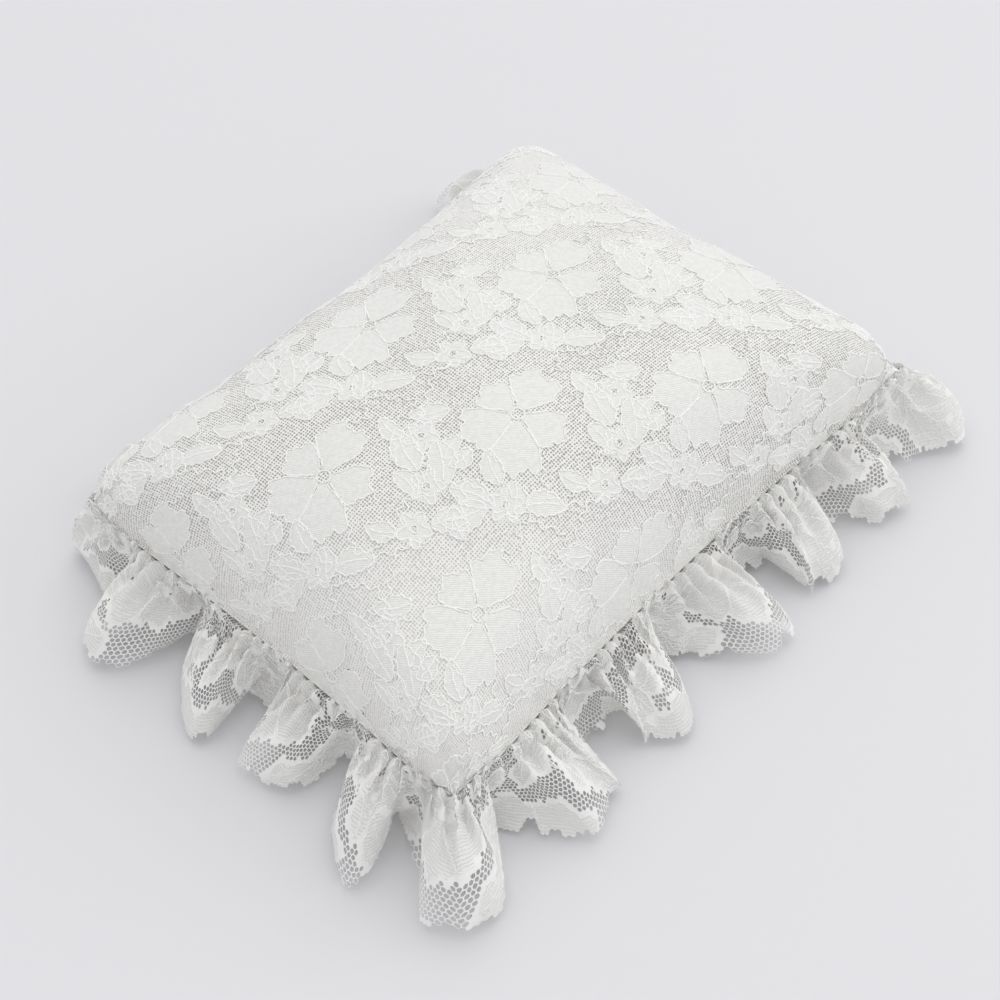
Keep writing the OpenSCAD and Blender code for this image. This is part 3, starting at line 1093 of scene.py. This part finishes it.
# The strip's grid and its cloth run
RUFFLE_COLUMNS = 1001
RUFFLE_ROWS = 17
RUFFLE_FRAMES = 24
RUFFLE_CLOTH = {
    "quality": 6, "mass": 0.15, "air_damping": 4, "tension_stiffness": 25,
    "compression_stiffness": 25, "shear_stiffness": 10, "bending_stiffness": 6,
    "tension_damping": 15, "compression_damping": 15, "shear_damping": 15, "shrink_min": -0.17,
}
RUFFLE_GRAVITY = 0.5
COLLIDER_OUT = 1.0

# The settled strip stays this far above the tabletop
FLOOR_GAP = 0.3


def fold_wave(way):
    """How far the ruffle stands out, most on a crest and 0 in a valley, and its phase and lean."""
    places, reach, lean = np.array(FOLD_CRESTS + [(ROUND, *FOLD_CRESTS[0][1:])]).T
    phase = 2 * math.pi * np.interp(way % ROUND, places, np.arange(len(places)))
    wave = (0.5 + 0.5 * np.cos(phase)) ** 0.75 * np.interp(way % ROUND, places, reach)
    return wave, phase, np.interp(way % ROUND, places, lean)


def gathered_start():
    """The ruffle as it leaves the gathering machine, before it settles."""
    s = np.linspace(0, 1, RUFFLE_COLUMNS)
    t = np.linspace(0, 1, RUFFLE_ROWS)
    s, t = np.meshgrid(s, t, indexing="ij")
    way = (s + JOIN_PLACE) * ROUND
    wave, phase, lean = fold_wave(way)
    sway = (2.2 * np.sin(2 * phase) + lean * np.cos(phase)) * t**1.2
    base, out = seam_path(way + sway)
    reach = VALLEY_REACH + (CREST_REACH - VALLEY_REACH) * wave
    crease = np.sin(way / 2.2 + 2 * np.sin(way / 17)) + 0.7 * np.sin(way / 1.5 + 3 * np.sin(way / 29))
    reach = reach + CREASE_DEPTH * crease * t
    along = 0.3 + 1.2 * smooth(0, 0.08, t) + reach * (1 - (1 - t) ** 1.4)
    drop = (base[..., 2] - HEM_HEIGHT) * t**1.6
    beat = 2 * math.pi * way / GATHER_PITCH + 1.3 * np.sin(way / 11) + 0.8 * np.sin(way / 4.7)
    pucker = np.sin(beat) * (0.5 + 1.3 * smooth(0, 0.15, t)) * (1 - smooth(0.15, 0.75, t))
    points = base + along[..., None] * out
    points[..., 2] += pucker - drop + 3.0 * wave * np.sin(math.pi * t)
    points[..., 2] += HEADING_LIFT * np.sin(math.pi * np.clip(t / 0.16, 0, 1))
    return points


def pillow_collider():
    """A coarse pillow for the ruffle to lie against: points and faces."""
    a, b = cover_grid(20, 15)
    rows, columns = a.shape
    top = pillow_points(a, b, COLLIDER_OUT, True, gap=0).reshape(-1, 3)
    bottom = pillow_points(a, b, -SATIN_T, False, gap=0).reshape(-1, 3)
    faces = grid_faces(rows, columns) + grid_faces(rows, columns, rows * columns, flip=True)
    return np.concatenate([top, bottom]), faces


def floor_collider():
    points = np.array([[-300.0, -300, 0], [300, -300, 0], [300, 300, 0], [-300, 300, 0]])
    return points, [[0, 1, 2, 3]]


def settled_ruffle():
    """The strip, settled over the pillow and the tabletop; its heading and its ends stay sewn."""
    start = gathered_start()
    index = np.arange(RUFFLE_COLUMNS * RUFFLE_ROWS).reshape(RUFFLE_COLUMNS, RUFFLE_ROWS)
    pinned = np.unique(np.concatenate([index[:, 0], index[:, 1], index[0], index[-1]])).tolist()
    settled = simulate(
        start.reshape(-1, 3), grid_faces(*index.shape), pinned, RUFFLE_FRAMES, RUFFLE_CLOTH,
        RUFFLE_GRAVITY, colliders=[pillow_collider(), floor_collider()],
    )
    settled[:, 2] = np.maximum(settled[:, 2], FLOOR_GAP)
    return Surface(settled.reshape(start.shape))


# The net of the ruffle: hexagons with thread between them
HEX_PITCH = 1.08
HEX_HEIGHT = 1.42
HEX_THREAD = 0.25
HEX_JITTER = 0.05
RUFFLE_PATTERN_SHIFT = (5.0, 31.0)

# Cells of the net are filled as far as this outside a motif
FILLED_BEYOND = 1.5
HEM_DEPTH = 1.6


def ruffle_motif(u, v):
    return motif_distance(u - RUFFLE_PATTERN_SHIFT[0], v - RUFFLE_PATTERN_SHIFT[1])


def inside_hem(u, v):
    """True for the cells inside the uneven, softly scalloped hem."""
    scallop = HEM_DEPTH * np.abs(np.sin(u * math.pi / 12.5)) + 1.1 * np.sin(u * 0.9) * np.sin(u * 0.23)
    return v < STRIP_WIDTH - 2 * HEM_DEPTH + scallop


def flat_net():
    """Points and faces of a flat hexagonal net; cells inside a motif are closed."""
    columns = int(round(STRIP_LENGTH / HEX_PITCH))
    pitch = STRIP_LENGTH / columns
    rise = 0.75 * HEX_HEIGHT
    c, r = np.meshgrid(np.arange(columns), np.arange(int(STRIP_WIDTH / rise)), indexing="ij")
    u = (pitch * (c + 0.25 + 0.5 * (r % 2))).ravel()
    v = (rise * (r + 0.5)).ravel()
    kept = inside_hem(u, v)
    u, v = u[kept], v[kept]
    filled = ruffle_motif(u, v) < FILLED_BEYOND
    corner_u = np.array([0, 0.5, 0.5, 0, -0.5, -0.5]) * pitch
    corner_v = np.array([0.5, 0.25, -0.25, -0.5, -0.25, 0.25]) * HEX_HEIGHT
    cells = np.stack([u[:, None] + corner_u, v[:, None] + corner_v], -1).reshape(-1, 2)
    keys = np.round(cells / 0.1).astype(int)
    _, first, shared = np.unique(keys, axis=0, return_index=True, return_inverse=True)
    corners = cells[first] + rng.normal(0, HEX_JITTER, (len(first), 2))
    shared = shared.reshape(-1, 6)
    outer = shared[~filled]
    centre = corners[outer].mean(1)[:, None, :]
    inner = centre + (1 - HEX_THREAD / pitch) * (corners[outer] - centre)
    ring = len(corners) + np.arange(outer.size).reshape(-1, 6)
    threads = np.stack([outer, np.roll(outer, -1, 1), np.roll(ring, -1, 1), ring], -1)
    points = np.concatenate([corners, inner.reshape(-1, 2)])
    points[:, 0] = np.clip(points[:, 0], 0, STRIP_LENGTH)
    return points, shared[filled].tolist() + threads.reshape(-1, 4).tolist()


def strip_places(flat):
    """Grid places of the simulated strip for flat lace coordinates."""
    i = flat[:, 0] / STRIP_LENGTH * (RUFFLE_COLUMNS - 1)
    j = flat[:, 1] / STRIP_WIDTH * (RUFFLE_ROWS - 1)
    return i, j


# The ruffle's outline cords end short of the strip's ends and of its hem
RUFFLE_CORD_STEP = 0.7
RUFFLE_CORD_R = 0.22
RUFFLE_CORD_LIFT = 0.05
RUFFLE_CORD_JITTER = 0.07
RUFFLE_CORD_LOW = (1, 1)
RUFFLE_CORD_HIGH = (STRIP_LENGTH - 1, STRIP_WIDTH - 3.5)


def add_ruffle(surface):
    """The gathered lace: its net, and the cords that outline its motifs."""
    flat, faces = flat_net()
    piece = new_mesh("ruffle", out_of_square(surface.at(*strip_places(flat))), faces)
    set_attribute(piece, "cloth", flat_points(flat[:, 0], flat[:, 1]))
    set_attribute(piece, "motif", ruffle_motif(flat[:, 0], flat[:, 1]))
    finish_piece(piece, ruffle_lace_material(), "ruffle_lace", "lace_ruffle")

    lines = pattern_cords(RUFFLE_CORD_LOW, RUFFLE_CORD_HIGH, RUFFLE_CORD_STEP, RUFFLE_PATTERN_SHIFT)
    paths = []
    for line in lines:
        i, j = strip_places(line + rng.normal(0, RUFFLE_CORD_JITTER, line.shape))
        up = surface.normal(i, j)
        widths = 1 + 0.2 * np.sin(np.arange(len(line)) * 1.9)
        paths.append((out_of_square(surface.at(i, j) + RUFFLE_CORD_LIFT * up), up, widths))
    cords = tube_mesh("ruffle_cords", paths, RUFFLE_CORD_R, sides=4)
    finish_piece(cords, cord_material(), "ruffle_lace")


# ---- Stitches ----

THREAD_R = 0.2


def add_stitches(name, stitches, sides, material, node, ends=(0.6,)):
    """One piece of many stitches, each a line of points and the direction it stands up in."""
    paths = []
    for points, up in stitches:
        middle = [1.0] * (len(points) - 2 * len(ends))
        widths = np.array([*ends, *middle, *reversed(ends)])
        paths.append((out_of_square(points), np.broadcast_to(up, points.shape), widths))
    piece = tube_mesh(name, paths, THREAD_R, sides=sides)
    finish_piece(piece, material, "thread", node)


def add_seam_stitches(material):
    """Lockstitches in the crease between the cover and the ruffle."""
    stitch, gap, out_from_seam, above_seam, bow = 2.3, 0.5, 1.25, 0.6, 0.25
    t = np.linspace(0, 1, 6)
    stitches = []
    for start in np.arange(0, ROUND, stitch + gap):
        base, out = seam_path(start + stitch * t)
        points = base + out_from_seam * out
        points[:, 2] += above_seam + bow * np.sin(math.pi * t)
        stitches.append((points, (0.0, 0, 1)))
    add_stitches("seam_stitches", stitches, 6, material, "seam_thread", ends=(0.5, 0.9))


def add_gathering_stitches(surface, material):
    """Running stitches that pull the strip into gathers, just outside the seam."""
    stitch, gap, from_heading, above_lace, bow = 3.2, 1.8, 2.6, 0.05, 0.3
    t = np.linspace(0, 1, 7)
    stitches = []
    for start in np.arange(4, STRIP_LENGTH - 8, stitch + gap):
        i, j = strip_places(np.stack([start + stitch * t, np.full(7, from_heading)], -1))
        up = surface.normal(i, j)
        lift = above_lace + bow * np.sin(math.pi * t)[:, None]
        stitches.append((surface.at(i, j) + lift * up, up))
    add_stitches("gathering_stitches", stitches, 5, material, "gathering_thread")


def add_closing_stitches(material):
    """Slanting hand stitches that close the gap through which the pillow was stuffed."""
    low, high = [np.array(corner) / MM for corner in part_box("closing_stitches")]
    count, lead, slant, bow = 14, 0.15, 0.7, 0.25
    pitch = (high[0] - low[0]) / count
    t = np.linspace(0, 1, 7)
    up = unit(np.array([0.0, 0.6, -0.8]))
    stitches = []
    for n in range(count):
        x = low[0] + pitch * (n + lead + slant * t)
        y = high[1] + (low[1] - high[1]) * t
        z = high[2] + (low[2] - high[2]) * t - bow * np.sin(math.pi * t)
        stitches.append((np.stack([x, y, z], -1), up))
    add_stitches("closing_hand_stitches", stitches, 6, material, "closing_stitches")


def add_join_stitches(surface, material):
    """Small stitches that join the two ends of the lace strip, on the inside."""
    pitch, stitch, reach, above_lace = 1.5, 1.4, 0.9, 0.2
    t = np.linspace(0, 1, 5)
    stitches = []
    for start in np.arange(pitch, STRIP_WIDTH - 5, pitch):
        i, j = strip_places(np.stack([reach * np.sin(math.pi * t), start + stitch * t], -1))
        up = -surface.normal(i, j)
        stitches.append((surface.at(i, j) + above_lace * up, up))
    add_stitches("ruffle_join_stitches", stitches, 5, material, "ruffle_join_thread")


# ---- Build ----

add_camera()
add_studio()
add_floor()
add_stuffing()
satin = satin_material()
add_satin("satin_top", True, "satin_top_panel", satin)
add_satin("satin_bottom", False, "satin_bottom_panel", satin)
add_panel_lace()
ruffle_surface = settled_ruffle()
add_ruffle(ruffle_surface)
thread = thread_material()
add_seam_stitches(thread)
add_gathering_stitches(ruffle_surface, thread)
add_closing_stitches(thread)
add_join_stitches(ruffle_surface, thread)
